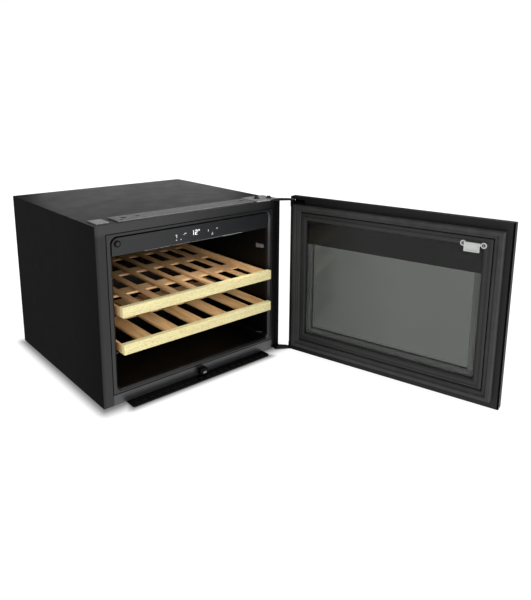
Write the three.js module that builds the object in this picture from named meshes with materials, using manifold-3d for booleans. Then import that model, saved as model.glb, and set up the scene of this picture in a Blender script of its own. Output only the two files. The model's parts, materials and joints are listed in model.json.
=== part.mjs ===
// Built-in wine cooler for a 45 cm niche, with a push-to-open glass door and two sliding wooden shelves.
// Millimetres, +Z up. The front of the cabinet faces -Y. The origin is the middle of the cabinet's underside.
// The door stands open, and every sliding piece is at home.

import * as THREE from 'three';
import { mergeVertices } from 'three/addons/utils/BufferGeometryUtils.js';
import Module from 'manifold-3d';

const wasm = await Module();
wasm.setup();

// ---------------------------------------------------------------- driving dimensions

const GAP = 0.3;                       // between pieces that touch
const CARCASS = { width: 557, depth: 526, height: 442 };
const HALF_WIDTH = CARCASS.width / 2;
const FRONT = -CARCASS.depth / 2;      // plane of the cabinet's front frame
const REAR = CARCASS.depth / 2;
const SHEET = 1;                       // painted steel sheet
const SIDE_FLANGE = 26.2;              // front frame of the wrap, either side of the liner
const TOP_FLANGE = 22.7;
const RAIL_HEIGHT = 26.7;              // steel cross rail under the liner's mouth
const LINER = { halfWidth: 238, floor: 36, ceiling: 408, rear: 226, wall: 2, corner: 12, flare: 5 };
const HUMP = { front: 57, top: 216 };  // step of the liner over the machine compartment
const BAY = { front: 93, top: 190 };   // machine compartment behind and under that step
const FOOT = { radius: 14, height: 5.7 };
const PANEL = { left: -239, right: 232.5, bottom: 367, top: 408.6, thickness: 2 };
const SWITCH = { x: -225, z: 395, radius: 5.2, bezel: 8 };
const GRILLE = { halfWidth: 217, reach: 30, top: -0.8, bottom: -5 };
const LATCH = { halfWidth: 12, bottom: 4, top: 20, reach: 14 };

const DOOR = { halfWidth: 298, bottom: 0, top: 456.5, back: FRONT - 20, front: FRONT - 40 };
const GLASS = { thickness: 4, edge: 5, innerFace: FRONT - 21.5 };
const WINDOW = { left: -232, right: 241, bottom: 63.5, top: 392 };
const FRAME_HOLE = 50;                 // width of the door frame's face around the glazing
const GASKET = { sideInset: 18.5, endInset: 21.5, width: 22.5, front: FRONT - 0.5 };
const PIN = { x: 299, y: FRONT - 32.5, radius: 3 };
const DOOR_OPEN = THREE.MathUtils.degToRad(103.4);
const ARM = { bottom: CARCASS.height + GAP, thickness: 3 };

const SHELF = { halfWidth: 229.5, railThickness: 14, railHeight: 26, proud: 20, side: 6.5, sideHeight: 21 };
const UPPER_SHELF = {
  name: 'upper', z: 221, rear: 207,
  slats: 7, slatWidth: 17.5, firstSlat: -172, pitch: 56, boards: [144, 296, 447],
};
const LOWER_SHELF = {
  name: 'lower', z: 129, rear: 49,
  slats: 5, slatWidth: 40, firstSlat: -171, pitch: 79, boards: [205, 290],
};
const SLAT = { thickness: 6, drop: 14.5, boardWidth: 42 };

const EVAPORATOR_FAN = { x: 0, y: 196, z: 330, radius: 44, depth: 10, hub: 14, blades: 7 };
const CONDENSER_FAN = { x: -66, y: 178, z: 95, radius: 58, depth: 16, hub: 19, blades: 5 };

// ---------------------------------------------------------------- materials

const finish = (color, roughness, metalness = 0) =>
  new THREE.MeshStandardMaterial({ color, roughness, metalness });

const BLACK_PAINT = finish(0x1b1c1d, 0.5);
const FRONT_PAINT = finish(0x393b3e, 0.45);
const BLACK_PLASTIC = finish(0x101112, 0.4);
const DARK_PLASTIC = finish(0x232426, 0.55);
const GALVANISED = finish(0xa9adb0, 0.4, 0.9);
const BRIGHT_STEEL = finish(0xd0d2d4, 0.25, 1);
const COPPER = finish(0xb87333, 0.35, 1);
const ALUMINIUM = finish(0xb5b8ba, 0.4, 1);
const RUBBER = finish(0x2b2c2d, 0.8);
const FOAM = finish(0xd8c98a, 0.95);
const BOARD_GREEN = finish(0x1c5a35, 0.6);
const SMOKED_GLASS = finish(0x1a1d1e, 0.05);
const PALE_WOOD = finish(0xe3d6a4, 0.6);
const BEECH = finish(0xc49a6a, 0.6);
const LAMP_WHITE = finish(0xf2f4f5, 0.3);

// ---------------------------------------------------------------- shape helpers

// A closed geometry as a manifold solid.
function solid(geometry) {
  const bare = geometry.clone();
  bare.deleteAttribute('normal');
  bare.deleteAttribute('uv');
  const merged = mergeVertices(bare, 1e-4);
  const mesh = new wasm.Mesh({
    numProp: 3,
    vertProperties: new Float32Array(merged.attributes.position.array),
    triVerts: new Uint32Array(merged.index.array),
  });
  return new wasm.Manifold(mesh);
}

// A manifold solid as a geometry with flat-shaded normals.
function shell(manifold) {
  const mesh = manifold.getMesh();
  const geometry = new THREE.BufferGeometry();
  geometry.setAttribute('position', new THREE.BufferAttribute(mesh.vertProperties, 3));
  geometry.setIndex(new THREE.BufferAttribute(mesh.triVerts, 1));
  return geometry.toNonIndexed();
}

const join = (...geometries) => shell(geometries.map(solid).reduce((sum, next) => sum.add(next)));
const cut = (body, ...tools) =>
  shell(tools.map(solid).reduce((rest, tool) => rest.subtract(tool), solid(body)));
const common = (a, b) => shell(solid(a).intersect(solid(b)));

function block(x0, x1, y0, y1, z0, z1) {
  const box = new THREE.BoxGeometry(x1 - x0, y1 - y0, z1 - z0);
  return box.translate((x0 + x1) / 2, (y0 + y1) / 2, (z0 + z1) / 2);
}

// Cylinders along one axis: at is the middle of the near end, and the length runs the positive way.
function rodX(x0, x1, y, z, radius, sides = 24) {
  const rod = new THREE.CylinderGeometry(radius, radius, x1 - x0, sides);
  return rod.rotateZ(Math.PI / 2).translate((x0 + x1) / 2, y, z);
}

function rodY(y0, y1, x, z, radius, sides = 24) {
  return new THREE.CylinderGeometry(radius, radius, y1 - y0, sides).translate(x, (y0 + y1) / 2, z);
}

function rodZ(z0, z1, x, y, radius, sides = 24) {
  const rod = new THREE.CylinderGeometry(radius, radius, z1 - z0, sides);
  return rod.rotateX(Math.PI / 2).translate(x, y, (z0 + z1) / 2);
}

// A rectangle with round corners, drawn anticlockwise.
function roundRect(x0, x1, z0, z1, radius, Kind = THREE.Shape) {
  const outline = new Kind();
  outline.moveTo(x0 + radius, z0);
  outline.lineTo(x1 - radius, z0);
  outline.absarc(x1 - radius, z0 + radius, radius, -Math.PI / 2, 0);
  outline.absarc(x1 - radius, z1 - radius, radius, 0, Math.PI / 2);
  outline.absarc(x0 + radius, z1 - radius, radius, Math.PI / 2, Math.PI);
  outline.absarc(x0 + radius, z0 + radius, radius, Math.PI, 1.5 * Math.PI);
  return outline;
}

// An outline in x and z, made solid from y0 to y1.
function upright(outline, y0, y1, curveSegments = 6) {
  const plate = new THREE.ExtrudeGeometry(outline, { depth: y1 - y0, bevelEnabled: false, curveSegments });
  return plate.rotateX(Math.PI / 2).translate(0, y1, 0);
}

// An outline in x and y, made solid from z0 to z1.
function flat(outline, z0, z1, curveSegments = 6) {
  const plate = new THREE.ExtrudeGeometry(outline, { depth: z1 - z0, bevelEnabled: false, curveSegments });
  return plate.translate(0, 0, z0);
}

// A list of [y, z] corners, made solid from x0 to x1.
function across(corners, x0, x1) {
  const outline = new THREE.Shape(corners.map(([y, z]) => new THREE.Vector2(y, z)));
  const bar = new THREE.ExtrudeGeometry(outline, { depth: x1 - x0, bevelEnabled: false });
  const turn = new THREE.Matrix4().makeBasis(
    new THREE.Vector3(0, 1, 0), new THREE.Vector3(0, 0, 1), new THREE.Vector3(1, 0, 0));
  return bar.applyMatrix4(turn).translate(x0, 0, 0);
}

const steps = (count, make) => Array.from({ length: count }, (_, index) => make(index));

const cooler = new THREE.Group();

function add(name, geometry, material, parent = cooler) {
  const mesh = new THREE.Mesh(geometry, material);
  mesh.name = name;
  parent.add(mesh);
  return mesh;
}

// ---------------------------------------------------------------- cabinet shell

function outerWrap() {
  const side = (sign) => {
    const [x0, x1] = sign > 0 ? [HALF_WIDTH - SHEET, HALF_WIDTH] : [-HALF_WIDTH, -HALF_WIDTH + SHEET];
    return block(x0, x1, FRONT, REAR, 0, CARCASS.height);
  };
  const flange = (sign) => {
    const [x0, x1] = sign > 0
      ? [HALF_WIDTH - SIDE_FLANGE, HALF_WIDTH]
      : [-HALF_WIDTH, -HALF_WIDTH + SIDE_FLANGE];
    return block(x0, x1, FRONT, FRONT + SHEET, 0, CARCASS.height);
  };
  const top = block(-HALF_WIDTH, HALF_WIDTH, FRONT, REAR, CARCASS.height - SHEET, CARCASS.height);
  const brow = block(-HALF_WIDTH, HALF_WIDTH, FRONT, FRONT + SHEET,
    CARCASS.height - TOP_FLANGE, CARCASS.height);
  return join(top, side(-1), side(1), flange(-1), flange(1), brow);
}

// Outer volume of the liner, grown by a margin: a box with round long edges and a step at its lower back.
function linerVolume(margin, frontY) {
  const w = LINER.halfWidth + margin;
  const tunnel = upright(roundRect(-w, w, LINER.floor - margin, LINER.ceiling + margin, LINER.corner + margin),
    frontY, LINER.rear + margin);
  const side = [
    [frontY, LINER.floor - margin - 1], [HUMP.front + margin, LINER.floor - margin - 1],
    [HUMP.front + margin, HUMP.top - margin], [LINER.rear + margin, HUMP.top - margin],
    [LINER.rear + margin, LINER.ceiling + margin + 1], [frontY, LINER.ceiling + margin + 1],
  ];
  return common(tunnel, across(side, -w - 1, w + 1));
}

// Space inside the liner: the step goes the other way, so the wall has one thickness all over.
function linerSpace(frontY) {
  const w = LINER.halfWidth;
  const tunnel = upright(roundRect(-w, w, LINER.floor, LINER.ceiling, LINER.corner), frontY, LINER.rear);
  return cut(tunnel, block(-w - 1, w + 1, HUMP.front, LINER.rear + 1, LINER.floor - 1, HUMP.top));
}

// The flare of the mouth, from the front plane back, grown by a margin.
function mouthFlare(margin) {
  const outline = roundRect(-LINER.halfWidth - margin, LINER.halfWidth + margin, LINER.floor - margin,
    LINER.ceiling + margin, LINER.corner + margin);
  const flare = new THREE.ExtrudeGeometry(outline, {
    depth: 2, bevelEnabled: true, bevelThickness: LINER.flare, bevelSize: LINER.flare, bevelSegments: 1,
    curveSegments: 6,
  });
  return flare.rotateX(Math.PI / 2).translate(0, FRONT, 0);
}

function innerLiner() {
  const inner = HALF_WIDTH - SIDE_FLANGE - GAP;
  const flange = block(-inner, inner, FRONT, FRONT + LINER.wall, RAIL_HEIGHT + GAP,
    CARCASS.height - TOP_FLANGE - GAP);
  const backOfFlange = block(-inner, inner, FRONT + LINER.wall, FRONT + LINER.flare + 3, 0, CARCASS.height);
  const collar = common(mouthFlare(LINER.wall), backOfFlange);
  const body = join(linerVolume(LINER.wall, FRONT + 1), flange, collar);
  return cut(body, linerSpace(FRONT - 1), mouthFlare(0));
}

function foam() {
  const side = HALF_WIDTH - SHEET - GAP;
  const front = FRONT + LINER.wall + 2 * GAP;
  const filling = block(-side, side, front, REAR - 2 - GAP, 1.2 + GAP, CARCASS.height - SHEET - GAP);
  const bay = block(-side - 1, side + 1, BAY.front - GAP, REAR, 0, BAY.top + GAP);
  const flare = LINER.halfWidth + LINER.wall + LINER.flare + 1;
  const mouth = block(-flare, flare, front - 1, front + LINER.flare + 2, LINER.floor - LINER.flare - 3,
    LINER.ceiling + LINER.flare + 3);
  return cut(filling, bay, linerVolume(LINER.wall + GAP, front - 1), mouth);
}

function basePan() {
  const side = HALF_WIDTH - SHEET - GAP;
  return block(-side, side, FRONT + 2 + GAP, REAR - 2 - GAP, 0, 1.2);
}

function bottomRail() {
  const inner = HALF_WIDTH - SIDE_FLANGE - GAP;
  return block(-inner, inner, FRONT, FRONT + 2, 0, RAIL_HEIGHT);
}

function bayBulkhead() {
  const side = HALF_WIDTH - SHEET - GAP;
  const rear = REAR - 2 - GAP;
  const corners = [
    [BAY.front, 1.2 + GAP], [BAY.front + 1.2, 1.2 + GAP], [BAY.front + 1.2, BAY.top - 1.2],
    [rear, BAY.top - 1.2], [rear, BAY.top], [BAY.front, BAY.top],
  ];
  return across(corners, -side, side);
}

function rearGrille() {
  const side = HALF_WIDTH - SHEET - GAP;
  const plate = block(-side, side, REAR - 2, REAR - 1, 3, BAY.top - GAP);
  const slots = [-170, 0, 170].flatMap((x) => steps(8, (row) =>
    block(x - 60, x + 60, REAR - 3, REAR, 58 + row * 15, 65 + row * 15)));
  return cut(plate, ...slots, block(223, 257, REAR - 3, REAR, 19, 47));
}

add('outer_wrap', outerWrap(), BLACK_PAINT);
add('inner_liner', innerLiner(), BLACK_PLASTIC);
add('foam_insulation', foam(), FOAM);
add('base_pan', basePan(), GALVANISED);
add('bottom_rail', bottomRail(), FRONT_PAINT);
add('bay_bulkhead', bayBulkhead(), GALVANISED);
add('back_panel', block(-HALF_WIDTH + SHEET + GAP, HALF_WIDTH - SHEET - GAP, REAR - 2, REAR - 1,
  BAY.top, CARCASS.height - SHEET - GAP), GALVANISED);
add('rear_grille', rearGrille(), BLACK_PAINT);

const footPlaces = [['front_left', -238, -208], ['front_right', 238, -208], ['rear_left', -238, 225],
  ['rear_right', 238, 225]];
footPlaces.forEach(([place, x, y]) => {
  add(`foot_${place}`, rodZ(-GAP - FOOT.height, -GAP, x, y, FOOT.radius, 28), RUBBER);
});

// Floor-level air inlet under the door: a flat bar with a row of slots.
function ventGrille() {
  const outline = roundRect(-GRILLE.halfWidth, GRILLE.halfWidth, FRONT - GRILLE.reach, FRONT + 14, 6);
  const bar = flat(outline, GRILLE.bottom, GRILLE.top);
  const slots = steps(20, (i) => {
    const x = -199.5 + i * 21;
    return block(x - 8.5, x + 8.5, FRONT - 22, FRONT - 17, GRILLE.bottom - 1, GRILLE.top + 1);
  });
  return cut(bar, ...slots);
}

add('vent_grille', ventGrille(), BLACK_PLASTIC);

// ---------------------------------------------------------------- top strip and hinges

const ON_TOP = CARCASS.height + GAP;

function fixingStrip() {
  const plate = flat(roundRect(-213, 196, FRONT + 14, FRONT + 70, 2), ON_TOP, ON_TOP + 1.5);
  const slot = (x, y, length, height) =>
    flat(roundRect(x - length / 2, x + length / 2, y - height / 2, y + height / 2, height / 2 - 0.01),
      440, 446, 4);
  return cut(plate, slot(-184, FRONT + 45, 15, 10), slot(-147, FRONT + 45, 12, 7), slot(-199, FRONT + 27, 9, 5),
    slot(172, FRONT + 45, 14, 8));
}

// Both brackets reach forward past the cabinet's corner and end in an eye around the hinge pin.
function hingeArm(backLeft, backY, z0) {
  const eye = 6;
  const outline = new THREE.Shape();
  outline.moveTo(backLeft, backY);
  outline.lineTo(backLeft, FRONT + 4);
  outline.lineTo(backLeft + 40, FRONT + 2);
  outline.lineTo(256, FRONT - 12);
  outline.absarc(PIN.x, PIN.y, eye, THREE.MathUtils.degToRad(232), THREE.MathUtils.degToRad(380));
  outline.lineTo(300, FRONT - 14);
  outline.lineTo(276, FRONT + 12);
  outline.lineTo(276, backY);
  const arm = flat(outline, z0, z0 + ARM.thickness, 12);
  return cut(arm, rodZ(z0 - 1, z0 + ARM.thickness + 1, PIN.x, PIN.y, PIN.radius + GAP));
}

function hingePin(z0, z1, headZ0, headZ1) {
  return join(rodZ(z0, z1, PIN.x, PIN.y, PIN.radius), rodZ(headZ0, headZ1, PIN.x, PIN.y, PIN.radius + 1.8));
}

const LOWER_ARM_Z = -0.6 - ARM.thickness;
const LOWER_BLOCK = { bottom: GAP, top: 16 };
const UPPER_BLOCK = { bottom: 426, top: ARM.bottom - GAP - 0.4 };
const upperArmTop = ARM.bottom + ARM.thickness;

add('top_fixing_strip', fixingStrip(), GALVANISED);
add('corner_plate', flat(roundRect(-265, -232, FRONT + 20, FRONT + 64, 2), ON_TOP, ON_TOP + 1.5), GALVANISED);
add('upper_hinge_bracket', hingeArm(198, FRONT + 72, ARM.bottom), GALVANISED);
add('lower_hinge_bracket', hingeArm(220, FRONT + 30, LOWER_ARM_Z), BLACK_PAINT);
const upperPin = hingePin(UPPER_BLOCK.bottom + 2, upperArmTop + 1.2, upperArmTop + GAP, upperArmTop + 2);
const lowerPin = hingePin(LOWER_ARM_Z - 1.2, LOWER_BLOCK.top - 2, LOWER_ARM_Z - 1.6, LOWER_ARM_Z - GAP);
add('upper_hinge_pin', upperPin, BRIGHT_STEEL);
add('lower_hinge_pin', lowerPin, BRIGHT_STEEL);

[[224, FRONT + 38], [256, FRONT + 22]].forEach(([x, y], index) => {
  const washer = rodZ(upperArmTop + GAP, upperArmTop + 1.8, x, y, 8.5);
  const head = rodZ(upperArmTop + 1.5, upperArmTop + 6.5, x, y, 5.5, 6);
  add(`hinge_screw_${index + 1}`, join(washer, head), BLACK_PLASTIC);
});

// ---------------------------------------------------------------- control panel, switch, lamp

function controlPanel() {
  const { left, right, bottom, top, thickness } = PANEL;
  const y0 = FRONT + 0.5;
  const corner = LINER.corner + 4;
  const outline = new THREE.Shape();
  outline.moveTo(left, bottom);
  outline.lineTo(right, bottom);
  outline.lineTo(right, top);
  outline.absarc(left + corner, top - corner, corner, Math.PI / 2, Math.PI);
  const face = upright(outline, y0, y0 + thickness);
  const box = block(left + 4, right - 2, y0 + thickness - 0.5, y0 + 28, bottom + 2, top - 6);
  const hollow = block(left + 6, right - 4, y0 + thickness, y0 + 40, bottom + 4, top - 8);
  const bezel = rodY(FRONT - 1.2, y0 + 1, SWITCH.x, SWITCH.z, SWITCH.bezel, 32);
  const bore = rodY(FRONT - 5, FRONT + 20, SWITCH.x, SWITCH.z, SWITCH.radius + GAP, 32);
  return cut(join(face, cut(box, hollow), bezel), bore);
}

add('control_panel', controlPanel(), FRONT_PAINT);
add('door_switch_plunger', rodY(FRONT - 3.5, FRONT + 14, SWITCH.x, SWITCH.z, SWITCH.radius, 28), DARK_PLASTIC);
add('control_board', join(block(-120, 120, FRONT + 9, FRONT + 11, 374, 400),
  block(-24, 20, FRONT + 3.6, FRONT + 9.5, 384, 399)), BOARD_GREEN);
const lampOutline = roundRect(-150, 150, 363.2, PANEL.bottom + 2 - GAP, 1);
add('lamp_strip', upright(lampOutline, FRONT + 12, FRONT + 22), LAMP_WHITE);

// ---------------------------------------------------------------- push latch

function latchHousing() {
  const { halfWidth, bottom, top, reach } = LATCH;
  const body = upright(roundRect(-halfWidth, halfWidth, bottom, top, 4), FRONT - reach, FRONT - GAP);
  return cut(body, block(-5.4, 5.4, FRONT - reach - 1, FRONT - 3, 6.6, 13.4));
}

add('latch_housing', latchHousing(), BLACK_PLASTIC);
add('latch_plunger', block(-5, 5, FRONT - 17.2, FRONT - 7.5, 7, 13), BRIGHT_STEEL);

// ---------------------------------------------------------------- machine compartment

function fanRotor({ radius, hub, depth, blades }) {
  const core = new THREE.CylinderGeometry(hub, hub, depth, 24);
  const vanes = steps(blades, (i) => {
    const vane = new THREE.BoxGeometry(radius - hub + 4, 1.6, hub * 1.5);
    vane.rotateX(0.5).translate((radius + hub - 4) / 2, 0, 0);
    return vane.rotateY((i * 2 * Math.PI) / blades);
  });
  return join(core, ...vanes);
}

function placeFan(name, fan, turnZ) {
  const mesh = add(name, fanRotor(fan), BLACK_PLASTIC);
  mesh.position.set(fan.x, fan.y, fan.z);
  mesh.rotation.z = turnZ;
}

function condenserShroud() {
  const { x, y, z, radius } = CONDENSER_FAN;
  const near = x + 20;
  const plate = block(near, near + 3, 100, 256, 16, 176);
  const hole = rodX(near - 1, near + 4, y, z, radius + 5, 40);
  const motor = rodX(near, near + 34, y, z, 21, 28);
  const spokes = [0, 1, 2].map((i) => {
    const spoke = new THREE.BoxGeometry(3, radius + 8, 6).translate(near + 1.5, (radius + 8) / 2, 0);
    return spoke.rotateX((i * 2 * Math.PI) / 3).translate(0, y, z);
  });
  return join(cut(plate, hole), motor, ...spokes);
}

function condenser() {
  const core = block(-234, -112, 110, 246, 24, 166);
  const fins = steps(16, (i) => block(-236 + i * 8, -234.8 + i * 8, 106, 250, 20, 170));
  const bends = [60, 130].map((z) => rodX(-242, -233, 178, z, 12, 16));
  return join(core, ...fins, ...bends);
}

// Hermetic compressor with the start relay on its side.
function compressor() {
  const profile = [[0, 18], [52, 18], [60, 30], [62, 70], [62, 110], [58, 138], [40, 156], [0, 162]];
  const can = new THREE.LatheGeometry(profile.map(([r, z]) => new THREE.Vector2(r, z)), 36);
  return join(can.rotateX(Math.PI / 2).translate(132, 178, 0), block(186, 222, 160, 196, 60, 100));
}

function compressorBase() {
  const plate = flat(roundRect(58, 206, 118, 238, 10), 12, 15);
  const corners = [[70, 130], [194, 130], [70, 226], [194, 226]];
  const grommets = corners.map(([x, y]) => rodZ(1.6, 12.5, x, y, 10, 20));
  return join(plate, ...grommets);
}

function refrigerantPipe() {
  const route = new THREE.CatmullRomCurve3([
    new THREE.Vector3(69, 200, 60), new THREE.Vector3(50, 214, 50), new THREE.Vector3(44, 222, 24),
    new THREE.Vector3(20, 226, 8), new THREE.Vector3(-20, 226, 7), new THREE.Vector3(-80, 226, 7),
    new THREE.Vector3(-98, 226, 16), new THREE.Vector3(-100, 226, 36),
  ]);
  const section = new THREE.Shape().absarc(0, 0, 3, 0, 2 * Math.PI);
  return new THREE.ExtrudeGeometry(section, {
    steps: 40, extrudePath: route, curveSegments: 5, bevelEnabled: false,
  });
}

function drainTray() {
  const tray = flat(roundRect(60, 204, 112, 246, 8), 166, 184);
  return cut(tray, flat(roundRect(62, 202, 114, 244, 6), 168, 190));
}

add('compressor', compressor(), BLACK_PAINT);
add('compressor_base', compressorBase(), RUBBER);
add('refrigerant_pipe', refrigerantPipe(), COPPER);
add('drain_tray', drainTray(), DARK_PLASTIC);
add('condenser', condenser(), ALUMINIUM);
add('condenser_fan_shroud', condenserShroud(), DARK_PLASTIC);
placeFan('condenser_fan', CONDENSER_FAN, Math.PI / 2);
add('power_inlet', cut(block(224, 256, REAR - 22, REAR - 0.4, 20, 46),
  upright(roundRect(229, 251, 25, 41, 3), REAR - 12, REAR + 1)), BLACK_PLASTIC);

// ---------------------------------------------------------------- cooling inside the cabinet

// Duct cover in front of the evaporator, with the fan's motor on a bar across it.
function fanCover() {
  const { x, z, radius } = EVAPORATOR_FAN;
  const box = block(-120, 120, 184, LINER.rear - GAP, 262, 404);
  const hollow = block(-118, 118, 186, LINER.rear + 1, 264, 402);
  const slots = steps(9, (i) => {
    const offset = (i - 4) * 9.5;
    const half = Math.sqrt(radius ** 2 - offset ** 2);
    return block(x + offset - 2.6, x + offset + 2.6, 183, 187, z - half, z + half);
  });
  const bar = block(-119, 119, 203, 206, z - 5, z + 5);
  const motor = rodY(202, 209.5, x, z, 16);
  return join(cut(box, hollow, ...slots), bar, motor);
}

function evaporator() {
  const core = block(-112, 112, 216, 224, 270, 398);
  const fins = steps(24, (i) => block(-109 + i * 9.4, -108 + i * 9.4, 210, 217, 272, 396));
  return join(core, ...fins);
}

add('fan_cover', fanCover(), BLACK_PLASTIC);
add('evaporator', evaporator(), ALUMINIUM);
placeFan('evaporator_fan', EVAPORATOR_FAN, 0);

// ---------------------------------------------------------------- shelves

const sideRunner = (sign, shelf) => {
  const [x0, x1] = sign > 0
    ? [LINER.halfWidth - 8, LINER.halfWidth - GAP]
    : [-LINER.halfWidth + GAP, 8 - LINER.halfWidth];
  return block(x0, x1, FRONT + 10, shelf.rear + 4, shelf.z - 4.6, shelf.z - GAP);
};

// Slats run front to back on cross boards, inside the side boards and below the top of the front rail.
function shelfDeck(shelf) {
  const top = shelf.z + SHELF.railHeight - SLAT.drop;
  const start = FRONT - SHELF.proud + SHELF.railThickness + GAP;
  const slats = steps(shelf.slats, (i) => {
    const x = shelf.firstSlat + i * shelf.pitch;
    return block(x, x + shelf.slatWidth, start, shelf.rear, top - SLAT.thickness, top);
  });
  const inside = SHELF.halfWidth - SHELF.side - GAP;
  const boards = shelf.boards.map((middle) => block(-inside, inside, FRONT + middle - SLAT.boardWidth / 2,
    FRONT + middle + SLAT.boardWidth / 2, top - 2 * SLAT.thickness, top - SLAT.thickness + 0.01));
  return join(...slats, ...boards);
}

[UPPER_SHELF, LOWER_SHELF].forEach((shelf) => {
  const group = new THREE.Group();
  cooler.add(group);
  const front = FRONT - SHELF.proud;
  const railBack = front + SHELF.railThickness;
  const rail = block(-SHELF.halfWidth, SHELF.halfWidth, front, railBack, shelf.z, shelf.z + SHELF.railHeight);
  add(`${shelf.name}_shelf_front_rail`, rail, PALE_WOOD, group);
  [['left', -1], ['right', 1]].forEach(([side, sign]) => {
    const x = sign * (SHELF.halfWidth - SHELF.side / 2);
    const board = block(x - SHELF.side / 2, x + SHELF.side / 2, railBack + GAP, shelf.rear, shelf.z,
      shelf.z + SHELF.sideHeight);
    add(`${shelf.name}_shelf_${side}_side`, board, BEECH, group);
    add(`${shelf.name}_runner_${side}`, sideRunner(sign, shelf), BLACK_PLASTIC);
  });
  add(`${shelf.name}_shelf_deck`, shelfDeck(shelf), BEECH, group);
});

// ---------------------------------------------------------------- door, drawn closed about its hinge pin

const door = new THREE.Group();
door.position.set(PIN.x, PIN.y, 0);
door.rotation.z = DOOR_OPEN;
cooler.add(door);

function addToDoor(name, geometry, material) {
  add(name, geometry.translate(-PIN.x, -PIN.y, 0), material, door);
}

function doorFrame() {
  const { halfWidth, bottom, top, back, front } = DOOR;
  const slab = upright(roundRect(-halfWidth, halfWidth, bottom, top, 2.5), front, back, 4);
  const rebateEdge = halfWidth - GLASS.edge + GAP;
  const rebate = block(-rebateEdge, rebateEdge, front - 1, front + GLASS.thickness + GAP,
    bottom + GLASS.edge - GAP, top - GLASS.edge + GAP);
  const hole = block(-halfWidth + FRAME_HOLE, halfWidth - FRAME_HOLE, front - 1, back + 1,
    bottom + FRAME_HOLE, top - FRAME_HOLE);
  const armNotch = block(252, halfWidth + 1, front + GLASS.thickness + GAP, back + 1,
    UPPER_BLOCK.top, upperArmTop + 3);
  const upperNotch = block(halfWidth - GLASS.edge, halfWidth + 1, front - 1, back + 1, UPPER_BLOCK.bottom - GAP,
    upperArmTop + 3);
  const lowerNotch = block(halfWidth - GLASS.edge, halfWidth + 1, front - 1, back + 1, bottom - 1,
    LOWER_BLOCK.top + GAP);
  return cut(slab, rebate, hole, armNotch, upperNotch, lowerNotch);
}

function hingeBlock({ bottom, top }) {
  const inner = DOOR.halfWidth - GLASS.edge + GAP;
  const body = block(inner, PIN.x, DOOR.front + 0.2, DOOR.back - 0.5, bottom, top);
  const barrel = rodZ(bottom, top, PIN.x, PIN.y, 7, 28);
  const trimmed = cut(barrel, block(PIN.x - 20, inner, PIN.y - 20, PIN.y + 20, bottom - 1, top + 1));
  return cut(join(body, trimmed), rodZ(bottom - 1, top + 1, PIN.x, PIN.y, PIN.radius + GAP));
}

// Moulded frame on the inside of the door: a thin plate that carries the gasket, and a lip that holds
// the glazing.
function doorLiner() {
  const { halfWidth, bottom, top, back } = DOOR;
  const sideIn = GASKET.sideInset;
  const endIn = GASKET.endInset;
  const plate = upright(roundRect(-halfWidth + sideIn, halfWidth - sideIn, bottom + endIn, top - endIn, 3),
    back + GAP, back + 2.5);
  const lip = upright(roundRect(WINDOW.left - 11, WINDOW.right + 5, WINDOW.bottom - 11, WINDOW.top + 12, 4),
    GLASS.innerFace + GAP, back + 8);
  const window = upright(roundRect(WINDOW.left, WINDOW.right, WINDOW.bottom, WINDOW.top, 3),
    GLASS.innerFace - 1, back + 10);
  return cut(join(plate, lip), window);
}

function doorGasket() {
  const { halfWidth, bottom, top, back } = DOOR;
  const { sideInset, endInset, width, front } = GASKET;
  const outline = roundRect(-halfWidth + sideInset, halfWidth - sideInset,
    bottom + endInset, top - endInset, 2);
  outline.holes.push(roundRect(-halfWidth + sideInset + width, halfWidth - sideInset - width,
    bottom + endInset + width - 4, top - endInset - width + 4, 1, THREE.Path));
  return upright(outline, back + 2.5 + GAP, front, 3);
}

function glazingSpacer() {
  const side = DOOR.halfWidth - FRAME_HOLE - 1;
  const outline = roundRect(-side, side, DOOR.bottom + FRAME_HOLE + 1, DOOR.top - FRAME_HOLE - 1, 3);
  outline.holes.push(roundRect(-216, 227, 80, 330, 2, THREE.Path));
  return upright(outline, DOOR.front + GLASS.thickness + GAP, GLASS.innerFace - GLASS.thickness - GAP, 3);
}

const STRIKE_EYES = [-235, -188];

function strikePlate() {
  const y0 = DOOR.back + 8 + GAP;
  const hollow = block(-224, -193, y0 + 1.5, y0 + 6, 381.5, 398.5);
  const tray = cut(block(-226.5, -190.5, y0, y0 + 5, 379, 401), hollow);
  const eyes = STRIKE_EYES.map((x) => rodY(y0, y0 + 2, x, 397, 7));
  const web = block(...STRIKE_EYES, y0, y0 + 1.5, 394.5, 399.5);
  const screws = STRIKE_EYES.map((x) => rodY(y0 + 1, y0 + 3.4, x, 397, 4, 20));
  return join(tray, ...eyes, web, ...screws);
}

const paneEdge = DOOR.halfWidth - GLASS.edge;
const innerPane = DOOR.halfWidth - FRAME_HOLE - GAP;

addToDoor('door_frame', doorFrame(), DARK_PLASTIC);
addToDoor('outer_glass', block(-paneEdge, paneEdge, DOOR.front, DOOR.front + GLASS.thickness,
  DOOR.bottom + GLASS.edge, DOOR.top - GLASS.edge), SMOKED_GLASS);
addToDoor('inner_glass', block(-innerPane, innerPane, GLASS.innerFace - GLASS.thickness, GLASS.innerFace,
  DOOR.bottom + FRAME_HOLE + GAP, DOOR.top - FRAME_HOLE - GAP), SMOKED_GLASS);
addToDoor('glazing_spacer', glazingSpacer(), ALUMINIUM);
addToDoor('door_liner', doorLiner(), BLACK_PLASTIC);
addToDoor('door_gasket', doorGasket(), RUBBER);
addToDoor('upper_hinge_block', hingeBlock(UPPER_BLOCK), BLACK_PLASTIC);
addToDoor('lower_hinge_block', hingeBlock(LOWER_BLOCK), BLACK_PLASTIC);
addToDoor('strike_plate', strikePlate(), BRIGHT_STEEL);
addToDoor('latch_striker', block(-13, 13, DOOR.back + GAP, DOOR.back + 2.4, 3, 13), BLACK_PLASTIC);

export default cooler;
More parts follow.
